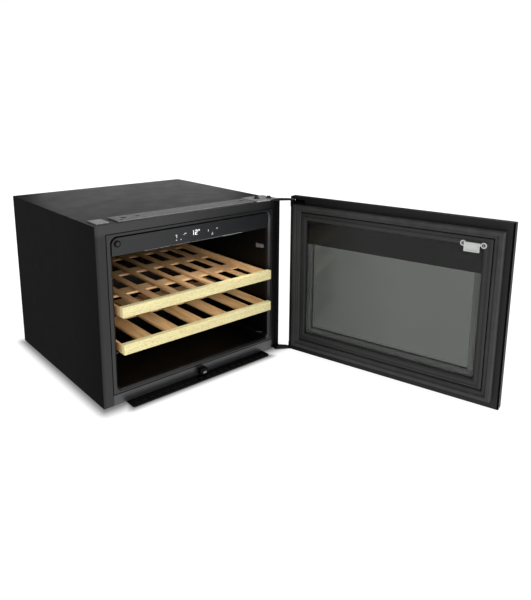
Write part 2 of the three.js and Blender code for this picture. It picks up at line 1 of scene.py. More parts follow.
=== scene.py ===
"""The looks of a built-in wine cooler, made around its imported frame.

Metres, +Z up. The cabinet's front faces -Y, and the door stands open on its hinge at the right.
"""

import json
import math

import bmesh
import bpy
from mathutils import Matrix, Vector


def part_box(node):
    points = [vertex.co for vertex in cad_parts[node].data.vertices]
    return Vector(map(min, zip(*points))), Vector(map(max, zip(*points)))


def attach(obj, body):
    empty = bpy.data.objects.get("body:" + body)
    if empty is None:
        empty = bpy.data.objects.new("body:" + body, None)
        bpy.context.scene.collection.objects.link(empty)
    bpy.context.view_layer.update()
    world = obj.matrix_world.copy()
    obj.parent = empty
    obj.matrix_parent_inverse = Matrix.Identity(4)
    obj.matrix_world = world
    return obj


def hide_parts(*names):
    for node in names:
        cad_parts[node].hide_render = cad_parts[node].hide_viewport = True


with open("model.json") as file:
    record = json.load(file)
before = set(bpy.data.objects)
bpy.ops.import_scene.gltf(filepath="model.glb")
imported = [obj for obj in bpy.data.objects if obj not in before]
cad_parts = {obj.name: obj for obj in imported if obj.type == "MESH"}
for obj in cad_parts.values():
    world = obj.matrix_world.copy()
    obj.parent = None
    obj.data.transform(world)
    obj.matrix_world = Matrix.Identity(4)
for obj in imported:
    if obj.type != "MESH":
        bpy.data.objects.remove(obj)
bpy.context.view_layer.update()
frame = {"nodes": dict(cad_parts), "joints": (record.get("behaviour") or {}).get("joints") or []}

MM = 0.001
NODES = frame["nodes"]


def low(node):
    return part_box(node)[0]


def high(node):
    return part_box(node)[1]


def middle(node):
    return (low(node) + high(node)) / 2


# ---------------------------------------------------------------- places, from the frame

FRONT = low("outer_wrap").y            # plane of the cabinet's front frame
BACK = high("outer_wrap").y
WRAP_TOP = high("outer_wrap").z
HALF_WIDTH = high("outer_wrap").x
FLOOR_Z = low("foot_front_left").z
HINGE = next(joint for joint in frame["joints"] if joint["name"] == "door_hinge")
PIN = Vector(HINGE["pos_m"])
OPEN_ANGLE = -math.radians(HINGE["range_deg"][0])      # from shut to the open rest pose
OPEN = Matrix.Translation(PIN) @ Matrix.Rotation(OPEN_ANGLE, 4, "Z") @ Matrix.Translation(-PIN)

# Planes of the shut door.
DOOR_THICKNESS = 20 * MM
DOOR_BACK = FRONT - 20 * MM            # the panel's face towards the cabinet
OUTER_PANE_BACK = FRONT - 36 * MM      # the outer pane's face towards the cabinet
INNER_PANE_FRONT = FRONT - 25.5 * MM   # the inner pane's face towards the outer pane

# Outlines on the shut door: left, right, bottom, top in millimetres.
GASKET_OUTER = (-279.5, 279.5, 21.5, 435)
GASKET_INNER = (-257, 257, 40, 416.5)
LIP_OUTER = (-262, 262, 36, 421)
WINDOW = (-232, 241, 63.5, 392)        # opening in the door's liner
PANE_PRINT = (-247, 247, 326, 405)     # black band across the top of the inner pane
NOTCH_PRINT = (249, 292.8, 438, 451)   # behind the hinge arm's notch
HINGE_LEAF = (250, 291, 435.6, 441.4)


def add_object(name, data):
    obj = bpy.data.objects.new(name, data)
    bpy.context.scene.collection.objects.link(obj)
    return obj


# ---------------------------------------------------------------- camera

CAMERA_PLACE = (-0.8172, -1.4490, 0.7282)
YAW, PITCH, ROLL = math.radians(41.91), math.radians(11.74), math.radians(0.49)


def make_camera():
    ahead = Vector((math.sin(YAW) * math.cos(PITCH), math.cos(YAW) * math.cos(PITCH), -math.sin(PITCH)))
    level = Vector((math.cos(YAW), -math.sin(YAW), 0))
    above = level.cross(ahead)
    right = level * math.cos(ROLL) + above * math.sin(ROLL)
    up = above * math.cos(ROLL) - level * math.sin(ROLL)
    data = bpy.data.cameras.new("camera")
    data.lens = 34.67
    data.shift_x = -0.010
    data.shift_y = -0.1395
    data.clip_end = 60
    camera = add_object("camera", data)
    turn = Matrix((right, up, -ahead)).transposed().to_4x4()
    camera.matrix_world = Matrix.Translation(CAMERA_PLACE) @ turn
    bpy.context.scene.camera = camera


make_camera()

# ---------------------------------------------------------------- shader node helpers

WHITE = (1, 1, 1)


def calculate(tree, operation, a, b=0.0):
    """The value of a Math node. Each input is a number or another node's output."""
    node = tree.nodes.new("ShaderNodeMath")
    node.operation = operation
    for socket, value in zip(node.inputs, (a, b)):
        if isinstance(value, (int, float)):
            socket.default_value = value
        else:
            tree.links.new(value, socket)
    return node.outputs["Value"]


def color_ramp(tree, value, stops):
    """Colours along a value, from a list of (position, colour)."""
    node = tree.nodes.new("ShaderNodeValToRGB")
    elements = node.color_ramp.elements
    while len(elements) < len(stops):
        elements.new(0.5)
    for element, (position, color) in zip(elements, stops):
        element.position = position
        element.color = (*color, 1)
    tree.links.new(value, node.inputs["Fac"])
    return node.outputs["Color"]


def map_range(tree, value, low_in, high_in, low_out, high_out, interpolation="LINEAR"):
    """A value moved from one range to another, and held at its ends."""
    node = tree.nodes.new("ShaderNodeMapRange")
    node.interpolation_type = interpolation
    node.inputs["From Min"].default_value = low_in
    node.inputs["From Max"].default_value = high_in
    node.inputs["To Min"].default_value = low_out
    node.inputs["To Max"].default_value = high_out
    tree.links.new(value, node.inputs["Value"])
    return node.outputs["Result"]


# ---------------------------------------------------------------- light and floor

bpy.context.scene.view_settings.view_transform = "Standard"

# Brightness of the reflected room, from straight behind the cabinet (0) to straight in front (1).
ROOM_TONES = ((0.0, 0.03), (0.30, 0.085), (0.70, 0.80), (1.0, 1.0))
ROOM_STRENGTH = 1.15
ROOM_FRONT = (0.27, -0.86, -0.43)      # the brightest direction: in front, to the right and low


def make_world():
    """Even white light on everything. What glossy surfaces reflect is bright in front and dim behind."""
    world = bpy.data.worlds.new("studio")
    world.use_nodes = True
    bpy.context.scene.world = world
    tree = world.node_tree
    tree.nodes.clear()
    white = tree.nodes.new("ShaderNodeBackground")
    white.inputs["Color"].default_value = (*WHITE, 1)
    white.inputs["Strength"].default_value = 1.0
    facing = tree.nodes.new("ShaderNodeVectorMath")
    facing.operation = "DOT_PRODUCT"
    facing.inputs[1].default_value = ROOM_FRONT
    tree.links.new(tree.nodes.new("ShaderNodeTexCoord").outputs["Generated"], facing.inputs[0])
    share = map_range(tree, facing.outputs["Value"], -1, 1, 0, 1)
    room = tree.nodes.new("ShaderNodeBackground")
    room.inputs["Strength"].default_value = ROOM_STRENGTH
    tone = color_ramp(tree, share, [(position, (value,) * 3) for position, value in ROOM_TONES])
    tree.links.new(tone, room.inputs["Color"])
    mix = tree.nodes.new("ShaderNodeMixShader")
    out = tree.nodes.new("ShaderNodeOutputWorld")
    tree.links.new(tree.nodes.new("ShaderNodeLightPath").outputs["Is Glossy Ray"], mix.inputs["Fac"])
    tree.links.new(white.outputs["Background"], mix.inputs[1])
    tree.links.new(room.outputs["Background"], mix.inputs[2])
    tree.links.new(mix.outputs["Shader"], out.inputs["Surface"])
    world.cycles.sampling_method = "NONE"


def softbox(name, place, target, width, height, radiance):
    """A rectangular lamp of even radiance, turned from its place towards the target."""
    light = bpy.data.lights.new(name, "AREA")
    light.shape = "RECTANGLE"
    light.size, light.size_y = width, height
    light.energy = radiance * math.pi * width * height
    obj = add_object(name, light)
    obj.location = place
    obj.rotation_euler = (Vector(target) - Vector(place)).to_track_quat("-Z", "Y").to_euler()
    obj.visible_camera = False
    obj.visible_transmission = False


def make_lights():
    softbox("front_right_softbox", place=(2.2, -2.8, 1.5), target=(0, 0, 0.2),
            width=2.4, height=2.4, radiance=1.2)
    softbox("front_left_softbox", place=(-1.6, -3.0, 1.9), target=(0, 0, 0.2),
            width=1.6, height=1.6, radiance=1.6)
    softbox("rear_softbox", place=(1.72, 3.10, 0.88), target=(0, 0, 0.45),
            width=1.75, height=0.7, radiance=0.82)
    softbox("upper_cabinet_light", place=(75 * MM, FRONT + 24 * MM, 361 * MM),
            target=(150 * MM, FRONT + 70 * MM, 200 * MM), width=0.28, height=0.012, radiance=22)
    softbox("lower_cabinet_light", place=(0, FRONT + 4 * MM, 219 * MM), target=(0, -0.1, 0.1),
            width=0.42, height=0.012, radiance=5.5)


FLOOR_REACH = 14                       # half the side of the paper square
PAPER_GREY = (0.24, 0.24, 0.24)
PAPER_GLOW = 0.92                      # the paper's own light beyond the shadow
# The painted shadow fades out between these distances from the footprint.
SHADOW_START, SHADOW_END = -0.010, 0.034       # distances from the footprint


def footprint_distance(tree, place, x_span, y_span, x_weight=1.0, y_weight=1.0):
    """Distance over the floor from a rectangle, with a weight for each direction."""
    squares = []
    for axis, (start, end), weight in (("X", x_span, x_weight), ("Y", y_span, y_weight)):
        from_middle = calculate(tree, "SUBTRACT", place.outputs[axis], (start + end) / 2)
        away = calculate(tree, "ABSOLUTE", from_middle)
        past_edge = calculate(tree, "MAXIMUM", calculate(tree, "SUBTRACT", away, (end - start) / 2))
        offset = calculate(tree, "MULTIPLY", past_edge, weight)
        squares.append(calculate(tree, "MULTIPLY", offset, offset))
    return calculate(tree, "SQRT", calculate(tree, "ADD", *squares))


def floor_paper():
    """White paper with a painted soft shadow close round the cabinet and its floor grille."""
    mat = bpy.data.materials.new("floor_paper")
    mat.use_nodes = True
    tree = mat.node_tree
    shader = tree.nodes["Principled BSDF"]
    shader.inputs["Base Color"].default_value = (*PAPER_GREY, 1)
    shader.inputs["Specular IOR Level"].default_value = 0.0
    shader.inputs["Emission Color"].default_value = (*WHITE, 1)
    place = tree.nodes.new("ShaderNodeSeparateXYZ")
    tree.links.new(tree.nodes.new("ShaderNodeTexCoord").outputs["Object"], place.inputs["Vector"])
    cabinet = footprint_distance(tree, place, (-HALF_WIDTH, HALF_WIDTH), (FRONT, BACK),
                                 x_weight=1.06, y_weight=0.7)
    grille_low, grille_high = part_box("vent_grille")
    grille = footprint_distance(tree, place, (grille_low.x, grille_high.x), (grille_low.y, FRONT),
                                y_weight=1.3)
    nearest = calculate(tree, "MINIMUM", cabinet, grille)
    glow_share = map_range(tree, nearest, SHADOW_START, SHADOW_END, 0.0, PAPER_GLOW, "SMOOTHSTEP")
    tree.links.new(glow_share, shader.inputs["Emission Strength"])
    return mat


def make_floor():
    bm = bmesh.new()
    bmesh.ops.create_grid(bm, x_segments=1, y_segments=1, size=FLOOR_REACH)
    mesh = bpy.data.meshes.new("floor")
    bm.to_mesh(mesh)
    bm.free()
    mesh.materials.append(floor_paper())
    floor = add_object("floor", mesh)
    floor.location.z = FLOOR_Z
    floor.visible_glossy = False


make_world()
make_lights()
make_floor()

# ---------------------------------------------------------------- materials


class Surface:
    """A procedural material: the helpers add texture nodes and wire them to the Principled shader.

    Texture coordinates are metres in the frame, so a noise scale counts its cells per metre."""

    def __init__(self, name, roughness=0.5, metallic=0.0, specular=0.5):
        self.mat = bpy.data.materials.new(name)
        self.mat.use_nodes = True
        self.tree = self.mat.node_tree
        self.nodes = self.tree.nodes
        self.shader = self.nodes["Principled BSDF"]
        self.shader.inputs["Roughness"].default_value = roughness
        self.shader.inputs["Metallic"].default_value = metallic
        self.shader.inputs["Specular IOR Level"].default_value = specular
        self.place = self.nodes.new("ShaderNodeTexCoord").outputs["Object"]

    def link(self, value, socket):
        self.tree.links.new(value, socket)

    def feed(self, name, value):
        """Wires a value to one of the shader's inputs."""
        self.link(value, self.shader.inputs[name])

    def stretched(self, scale, source=None):
        """Coordinates scaled by a different amount along each axis."""
        mapping = self.nodes.new("ShaderNodeMapping")
        mapping.inputs["Scale"].default_value = scale
        self.link(source or self.place, mapping.inputs["Vector"])
        return mapping.outputs["Vector"]

    def noise(self, scale, detail=3.0, distortion=0.0, source=None):
        node = self.nodes.new("ShaderNodeTexNoise")
        node.inputs["Scale"].default_value = scale
        node.inputs["Detail"].default_value = detail
        node.inputs["Distortion"].default_value = distortion
        self.link(source or self.place, node.inputs["Vector"])
        return node.outputs["Fac"]

    def ramp(self, value, *stops):
        return color_ramp(self.tree, value, stops)

    def levels(self, value, low_out, high_out, low_in=0.3, high_in=0.7):
        return map_range(self.tree, value, low_in, high_in, low_out, high_out)

    def math(self, operation, a, b):
        return calculate(self.tree, operation, a, b)

    def multiply(self, a, b, factor=1.0):
        """Two colours multiplied."""
        node = self.nodes.new("ShaderNodeMix")
        node.data_type = "RGBA"
        node.blend_type = "MULTIPLY"
        node.inputs["Factor"].default_value = factor
        self.link(a, node.inputs["A"])
        self.link(b, node.inputs["B"])
        return node.outputs["Result"]

    def along(self, axis, start, end, first, last):
        """A value that runs from first to last between two places on an axis."""
        split = self.nodes.new("ShaderNodeSeparateXYZ")
        self.link(self.place, split.inputs["Vector"])
        return self.levels(split.outputs[axis], first, last, start, end)

    def bump(self, height, distance):
        """Adds relief to what the earlier bumps give."""
        node = self.nodes.new("ShaderNodeBump")
        node.inputs["Distance"].default_value = distance
        node.inputs["Strength"].default_value = 1.0
        self.link(height, node.inputs["Height"])
        previous = self.shader.inputs["Normal"].links
        if previous:
            self.link(previous[0].from_socket, node.inputs["Normal"])
        self.feed("Normal", node.outputs["Normal"])


def shade(color, factor):
    return tuple(min(1.0, channel * factor) for channel in color)


def grey(value):
    return (value,) * 3


def coated(name, color, roughness, grain, bump, specular=0.5, painted_shades=(), painted_light=None):
    """Powder coat or moulded plastic: a fine grain, slow colour drift and patches of different sheen.

    Each painted shade (axis, start, end, first, last) darkens the colour and the shine towards one end. For
    painted shade and highlight of a less regular form, painted_light is a function that gives the share of
    colour and shine at each place."""
    s = Surface(name, roughness=roughness, specular=specular)
    drift = s.noise(9, detail=4)
    speckle = s.noise(grain, detail=2)
    tone = s.multiply(s.ramp(drift, (0.3, shade(color, 0.94)), (0.7, shade(color, 1.06))),
                      s.ramp(speckle, (0.35, grey(0.82)), (0.65, WHITE)))
    shares = [s.along(*painted_shade) for painted_shade in painted_shades]
    if painted_light:
        shares.append(painted_light(s))
    level = specular
    for share in shares:
        tone = s.multiply(tone, share)
        level = s.math("MULTIPLY", share, level)
    if shares:
        s.feed("Specular IOR Level", level)
    s.feed("Base Color", tone)
    s.feed("Roughness", s.levels(s.noise(22, detail=5), roughness - 0.02, roughness + 0.03))
    s.bump(speckle, bump)
    return s.mat


def wrap_painted_light(s):
    """Painted shade and highlight: the front frame lies in the door's shade near the hinge, and the sides are
    painted duller than the top.
    """
    front_skin = ("Y", FRONT + 0.6 * MM, FRONT + 1.4 * MM)
    at_front = s.along(*front_skin, 1.0, 0.0)
    behind_front = s.along(*front_skin, 0.0, 1.0)
    below_top = s.along("Z", WRAP_TOP - 0.8 * MM, WRAP_TOP - 0.4 * MM, 1.0, 0.0)

    # Painted shade: the door's shade near the hinge, the sides darker low down and towards the front, the
    # front's left edge darker. Painted highlight: a lighter band along the top of the front flange.
    door_shade = s.along("X", 0.235, 0.262, 0.0, 0.85)
    side_painted_shade = s.math("ADD", s.along("Z", 0.05, 0.40, 0.34, -0.20), s.along("Y", FRONT, -0.1, 0.26, 0.0))
    left_edge_painted_shade = s.along("X", -HALF_WIDTH, -HALF_WIDTH + 9 * MM, 0.40, 0.0)
    top_flange_painted_highlight = s.math("MULTIPLY", s.along("Z", 0.414, 0.424, 0.0, 1.0), s.along("X", 0.20, 0.262, 0.4, 0.0))

    painted_light = s.math("SUBTRACT", 1.0, s.math("MULTIPLY", at_front, door_shade))
    on_sides = s.math("MULTIPLY", behind_front, side_painted_shade)
    painted_light = s.math("SUBTRACT", painted_light, s.math("MULTIPLY", on_sides, below_top))
    painted_light = s.math("SUBTRACT", painted_light, s.math("MULTIPLY", at_front, left_edge_painted_shade))
    return s.math("ADD", painted_light, s.math("MULTIPLY", at_front, top_flange_painted_highlight))


def rolling_lines(s):
    """Fine lines along X, as a rolling mill leaves them."""
    return s.noise(60, detail=6, source=s.stretched((1, 22, 22)))


def sheet_metal(name, color, roughness, spangle=None, metallic=1.0):
    """Bare metal with fine rolling lines, and zinc spangle when a size is given."""
    s = Surface(name, roughness=roughness, metallic=metallic)
    lines = rolling_lines(s)
    tone = s.ramp(lines, (0.35, shade(color, 0.82)), (0.65, shade(color, 1.08)))
    if spangle:
        cells = s.nodes.new("ShaderNodeTexVoronoi")
        cells.inputs["Scale"].default_value = 1 / spangle
        s.link(s.place, cells.inputs["Vector"])
        flakes = s.nodes.new("ShaderNodeSeparateColor")
        s.link(cells.outputs["Color"], flakes.inputs["Color"])
        tone = s.multiply(tone, s.ramp(flakes.outputs["Red"], (0.0, grey(0.78)), (1.0, WHITE)))
        sheen = s.levels(flakes.outputs["Green"], roughness - 0.08, roughness + 0.12, 0, 1)
    else:
        sheen = s.levels(lines, roughness - 0.06, roughness + 0.08)
    s.feed("Base Color", tone)
    s.feed("Roughness", sheen)
    s.bump(lines, 0.03 * MM)
    return s.mat


def bracket_steel():
    """Zinc-plated steel, nearly black on the arm in front of the cabinet's corner."""
    s = Surface("bracket_steel", roughness=0.45, metallic=0.7)
    lines = rolling_lines(s)
    zinc = s.ramp(lines, (0.35, (0.50, 0.51, 0.50)), (0.65, (0.64, 0.65, 0.64)))
    s.feed("Base Color", s.multiply(zinc, s.along("Y", FRONT - 2 * MM, FRONT + 3 * MM, 0.02, 1.0)))
    s.feed("Roughness", s.levels(lines, 0.40, 0.52))
    s.bump(lines, 0.03 * MM)
    return s.mat


def rubber(name, color, painted_shade=None):
    """Matt rubber with a little dust, and painted shade along one axis when painted_shade is given."""
    s = Surface(name, roughness=0.62, specular=0.4)
    dust = s.noise(35, detail=6)
    grain = s.noise(1800, detail=2)
    tone = s.multiply(s.ramp(dust, (0.35, shade(color, 0.85)), (0.75, shade(color, 1.25))),
                      s.ramp(grain, (0.3, grey(0.85)), (0.7, WHITE)))
    s.feed("Base Color", s.multiply(tone, s.along(*painted_shade)) if painted_shade else tone)
    s.feed("Roughness", s.levels(dust, 0.55, 0.7))
    s.bump(grain, 0.05 * MM)
    return s.mat


def wood(name, light, dark, axis, figure=1.0, flecked=False):
    """Planed wood with its grain along an axis. Each separate board comes from another place in the tree."""
    s = Surface(name, roughness=0.55, specular=0.35)
    island = s.nodes.new("ShaderNodeNewGeometry").outputs["Random Per Island"]
    shift = s.nodes.new("ShaderNodeCombineXYZ")
    for socket, spread in zip("XYZ", (3.1, 5.3, 7.7)):
        s.link(s.math("MULTIPLY", island, spread), shift.inputs[socket])
    moved = s.nodes.new("ShaderNodeVectorMath")
    s.link(s.place, moved.inputs[0])
    s.link(shift.outputs["Vector"], moved.inputs[1])

    def grained(scale, detail, lengthwise, crosswise, distortion=0.0):
        """Noise drawn out along the grain."""
        stretch = [lengthwise if other == axis else crosswise for other in "xyz"]
        return s.noise(scale, detail, distortion, s.stretched(stretch, moved.outputs["Vector"]))

    rings = grained(5, detail=3, lengthwise=1, crosswise=16, distortion=0.6)
    fibres = grained(38, detail=7, lengthwise=0.6, crosswise=16)
    pores = grained(150, detail=2, lengthwise=0.5, crosswise=16 / 3)
    between = tuple((a + b) / 2 for a, b in zip(light, dark))
    tone = s.ramp(rings, (0.30, dark), (0.5, between), (0.68, light))
    tone = s.multiply(tone, s.ramp(fibres, (0.32, (0.78, 0.72, 0.66)), (0.6, WHITE)), figure)
    tone = s.multiply(tone, s.ramp(pores, (0.30, (0.80, 0.72, 0.62)), (0.40, WHITE)), figure)
    tone = s.multiply(tone, s.ramp(island, (0.0, (0.86, 0.84, 0.84)), (1.0, WHITE)))
    if flecked:
        flecks = grained(330, detail=3, lengthwise=0.5, crosswise=1)
        tone = s.multiply(tone, s.ramp(flecks, (0.36, (0.87, 0.82, 0.71)), (0.50, WHITE)))
    s.feed("Base Color", tone)
    s.feed("Roughness", s.levels(fibres, 0.62, 0.48))
    s.bump(fibres, 0.12 * MM)
    s.bump(pores, 0.08 * MM)
    return s.mat


def tinted_glass(name, tint, ior, painted_shade=None):
    """Clear tinted pane whose tint drifts a little, with painted shade along one axis when painted_shade is
    given.
    """
    s = Surface(name, roughness=0.0)
    s.shader.inputs["Transmission Weight"].default_value = 1.0
    s.shader.inputs["IOR"].default_value = ior
    smear = s.noise(6, detail=5, distortion=0.4)
    tone = s.ramp(smear, (0.3, shade(tint, 0.98)), (0.7, shade(tint, 1.02)))
    s.feed("Base Color", s.multiply(tone, s.along(*painted_shade)) if painted_shade else tone)
    return s.mat


def glow(name, color, strength):
    """Lamp or display lens. A strength of 0 is a lamp that is off."""
    s = Surface(name, roughness=0.4)
    cells = s.noise(900, detail=1)
    s.feed("Base Color", s.ramp(cells, (0.3, shade(color, 0.8)), (0.7, color)))
    s.feed("Emission Color", s.ramp(cells, (0.3, shade(color, 0.85)), (0.7, color)))
    s.shader.inputs["Emission Strength"].default_value = strength
    return s.mat


# Painted shade, as (axis, start, end, first share, last share): colour and shine drop towards one end. The
# open door lies in the cabinet's shade near the hinge, the narrow face at its free edge is painted dark, the
# spacer and the outer glass are painted darker towards the hinge, and the cavity's liner is painted darker
# inside its mouth.
FREE_CORNER = low("door_frame").y - DOOR_THICKNESS * math.cos(OPEN_ANGLE)
DOOR_SHADE = ("Y", -0.52, PIN.y, 1.0, 0.40)
FREE_EDGE_SHADE = ("Y", FREE_CORNER - 0.3 * MM, FREE_CORNER + 0.3 * MM, 0.12, 1.0)
SPACER_SHADE = ("Y", -0.84, -0.44, 1.0, 0.62)
GLASS_SHADE = ("Y", -0.60, -0.33, 1.0, 0.58)
CAVITY_SHADE = ("Y", FRONT + 3 * MM, FRONT + 20 * MM, 1.0, 0.33)

BLACK = (0.0033, 0.0034, 0.0034)
BLACK_PAINT = coated("black_paint", BLACK, roughness=0.36, grain=2200, bump=0.03 * MM)
WRAP_PAINT = coated("wrap_paint", BLACK, roughness=0.36, grain=2200, bump=0.03 * MM, painted_light=wrap_painted_light)
FRONT_PAINT = coated("front_paint", (0.0050, 0.0055, 0.0068), roughness=0.34, grain=2400, bump=0.02 * MM)
# A lighter, shinier copy of the front paint: painted light on the bottom rail.
LIT_RAIL_PAINT = coated("lit_rail_paint", (0.0135, 0.0142, 0.0158), roughness=0.32, grain=2400, bump=0.02 * MM,
                    specular=0.95)
LINER_PLASTIC = coated("liner_plastic", (0.0040, 0.0041, 0.0044), roughness=0.36, grain=1500, bump=0.03 * MM,
                       specular=0.60, painted_shades=[CAVITY_SHADE])
BLACK_PLASTIC = coated("black_plastic", (0.008, 0.008, 0.0083), roughness=0.45, grain=1600, bump=0.04 * MM)
DARK_PLASTIC = coated("dark_plastic", (0.018, 0.018, 0.019), roughness=0.55, grain=1300, bump=0.05 * MM)
SENSOR_GREY = coated("sensor_grey", (0.105, 0.108, 0.108), roughness=0.5, grain=1500, bump=0.03 * MM)
BLACK_RING = coated("black_ring", (0.0012, 0.0012, 0.0012), roughness=0.5, grain=1500, bump=0.02 * MM,
                    specular=0.10)
SWITCH_CAP = coated("switch_cap", (0.014, 0.014, 0.015), roughness=0.42, grain=1500, bump=0.02 * MM,
                    specular=0.4)
# Matt black for the dark joint round the front, and for the painted shade in the fixing strip's slots.
SEAM_AND_SLOT_SHADE_BLACK = coated("seam_and_slot_shade_black", (0.0008, 0.0008, 0.0008), roughness=0.7, grain=1200, bump=0.02 * MM,
                    specular=0.08)
DOOR_BORDER = coated("door_border", (0.0085, 0.0085, 0.0087), roughness=0.40, grain=2000, bump=0.03 * MM,
                     painted_shades=[DOOR_SHADE, FREE_EDGE_SHADE])
RETAINER = coated("retainer_plastic", (0.029, 0.029, 0.0293), roughness=0.42, grain=1500, bump=0.03 * MM,
                  painted_shades=[DOOR_SHADE])
ENAMEL = coated("glass_enamel", (0.036, 0.036, 0.0364), roughness=0.30, grain=2600, bump=0.01 * MM)
SPACER_METAL = coated("spacer_metal", (0.50, 0.505, 0.50), roughness=0.5, grain=1400, bump=0.03 * MM,
                      painted_shades=[SPACER_SHADE])
FOAM = coated("foam_cells", (0.70, 0.58, 0.30), roughness=0.9, grain=700, bump=0.4 * MM, specular=0.2)
BOARD = coated("board_lacquer", (0.02, 0.12, 0.05), roughness=0.35, grain=900, bump=0.05 * MM)

ZINC_SPANGLE = 6 * MM
GALVANISED = sheet_metal("galvanised_steel", (0.50, 0.51, 0.51), 0.42, ZINC_SPANGLE, metallic=0.8)
STRIP_STEEL = sheet_metal("strip_steel", (0.47, 0.48, 0.47), 0.45, ZINC_SPANGLE, metallic=0.8)
PLATE_STEEL = sheet_metal("plate_steel", (0.62, 0.63, 0.62), 0.45, ZINC_SPANGLE, metallic=0.7)
BRACKET_STEEL = bracket_steel()
BRIGHT_STEEL = sheet_metal("bright_steel", (0.80, 0.81, 0.80), 0.28)
BOLT_STEEL = sheet_metal("bolt_steel", (0.26, 0.265, 0.26), 0.36)
SATIN_STEEL = sheet_metal("satin_steel", (0.70, 0.71, 0.70), 0.34, metallic=0.35)
COPPER = sheet_metal("copper_tube", (0.72, 0.38, 0.20), 0.35)
ALUMINIUM = sheet_metal("bare_aluminium", (0.62, 0.63, 0.64), 0.38)

GASKET_RUBBER = rubber("gasket_rubber", (0.038, 0.038, 0.0385), painted_shade=DOOR_SHADE)
FOOT_RUBBER = rubber("foot_rubber", (0.014, 0.014, 0.014))
LAMP = glow("lamp_lens", (0.95, 0.97, 1.0), strength=0.0)
DIGITS = glow("display_digits", (0.92, 0.97, 1.0), strength=0.62)
MARKS = glow("panel_marks", (0.85, 0.90, 0.95), strength=0.35)
INNER_GLASS = tinted_glass("inner_glass", (0.60, 0.61, 0.60), ior=1.18)
OUTER_GLASS = tinted_glass("outer_glass", (0.178, 0.184, 0.176), ior=1.35, painted_shade=GLASS_SHADE)

PALE_WOOD_X = wood("pale_rail_wood", (0.86, 0.80, 0.45), (0.80, 0.71, 0.38), "x", figure=0.5, flecked=True)
BEECH_X = wood("beech_boards", (0.86, 0.58, 0.31), (0.72, 0.44, 0.20), "x")
BEECH_Y = wood("beech_slats", (0.86, 0.56, 0.29), (0.68, 0.40, 0.17), "y")
HONEY_Y = wood("honey_slats", (0.80, 0.55, 0.27), (0.56, 0.33, 0.13), "y")

# ---------------------------------------------------------------- carried-over CAD nodes


def smooth(mesh):
    mesh.polygons.foreach_set("use_smooth", [True] * len(mesh.polygons))


def round_edges(obj, width):
    """Rounds the sharp edges when a width is given, and shades the flat faces flat."""
    if width:
        bevel = obj.modifiers.new("edges", "BEVEL")
        bevel.width = width
        bevel.segments = 2
        bevel.limit_method = "ANGLE"
        bevel.angle_limit = math.radians(35)
    normals = obj.modifiers.new("normals", "WEIGHTED_NORMAL")
    normals.keep_sharp = False


def dress(material, bevel, *names):
    """Gives CAD nodes their material and rounds their sharp edges with modifiers."""
    for name in names:
        obj = NODES[name]
        obj.data.materials.clear()
        obj.data.materials.append(material)
        normals = obj.data.attributes.get("custom_normal")
        if normals:
            obj.data.attributes.remove(normals)
        smooth(obj.data)
        weld = obj.modifiers.new("weld", "WELD")
        weld.merge_threshold = 0.01 * MM
        round_edges(obj, bevel)


dress(BLACK_PAINT, 0.6 * MM, "rear_grille", "lower_hinge_bracket", "compressor")
dress(WRAP_PAINT, 0.6 * MM, "outer_wrap")
dress(FRONT_PAINT, 0.4 * MM, "control_panel")
dress(LIT_RAIL_PAINT, 0.4 * MM, "bottom_rail")
dress(LINER_PLASTIC, 0.5 * MM, "inner_liner", "fan_cover", "upper_runner_left", "upper_runner_right",
      "lower_runner_left", "lower_runner_right")
dress(BLACK_PLASTIC, 0.4 * MM, "hinge_screw_1", "hinge_screw_2", "evaporator_fan", "condenser_fan",
      "power_inlet", "latch_striker")
dress(BLACK_RING, 0.4 * MM, "upper_hinge_block", "lower_hinge_block", "vent_grille", "latch_housing")
dress(DARK_PLASTIC, 0.5 * MM, "drain_tray", "condenser_fan_shroud")
dress(SWITCH_CAP, 0.5 * MM, "door_switch_plunger")
dress(FOAM, 0, "foam_insulation")
dress(GALVANISED, 0.3 * MM, "base_pan", "bay_bulkhead", "back_panel")
dress(PLATE_STEEL, 0.3 * MM, "corner_plate")
dress(BRACKET_STEEL, 0.3 * MM, "upper_hinge_bracket")
dress(STRIP_STEEL, 0.3 * MM, "top_fixing_strip")
dress(BRIGHT_STEEL, 0.3 * MM, "upper_hinge_pin", "lower_hinge_pin")
dress(BOLT_STEEL, 0.3 * MM, "latch_plunger")
dress(SATIN_STEEL, 0.3 * MM, "strike_plate")
dress(COPPER, 0, "refrigerant_pipe")
dress(ALUMINIUM, 0, "evaporator", "condenser")
dress(SPACER_METAL, 0, "glazing_spacer")
dress(FOOT_RUBBER, 0.8 * MM, "foot_front_left", "foot_front_right", "foot_rear_left", "foot_rear_right",
      "compressor_base")
dress(BOARD, 0, "control_board")
dress(LAMP, 0.3 * MM, "lamp_strip")
dress(DOOR_BORDER, 0.5 * MM, "door_frame")
dress(OUTER_GLASS, 0.5 * MM, "outer_glass")
dress(INNER_GLASS, 0.3 * MM, "inner_glass")
dress(PALE_WOOD_X, 1.0 * MM, "upper_shelf_front_rail", "lower_shelf_front_rail")
dress(BEECH_Y, 0.8 * MM, "upper_shelf_left_side", "upper_shelf_right_side", "lower_shelf_left_side",
      "lower_shelf_right_side")

# ---------------------------------------------------------------- piece helpers


def piece(name, bm, material, body, bevel=0.0, replaces=(), on_door=False):
    """Turns a bmesh into a finished piece. A door piece is drawn closed and turned open here."""
    bmesh.ops.recalc_face_normals(bm, faces=bm.faces)
    mesh = bpy.data.meshes.new(name)
    bm.to_mesh(mesh)
    bm.free()
    if on_door:
        mesh.transform(OPEN)
    mesh.materials.append(material)
    smooth(mesh)
    obj = add_object(name, mesh)
    round_edges(obj, bevel)
    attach(obj, body)
    if replaces:
        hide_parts(*replaces)


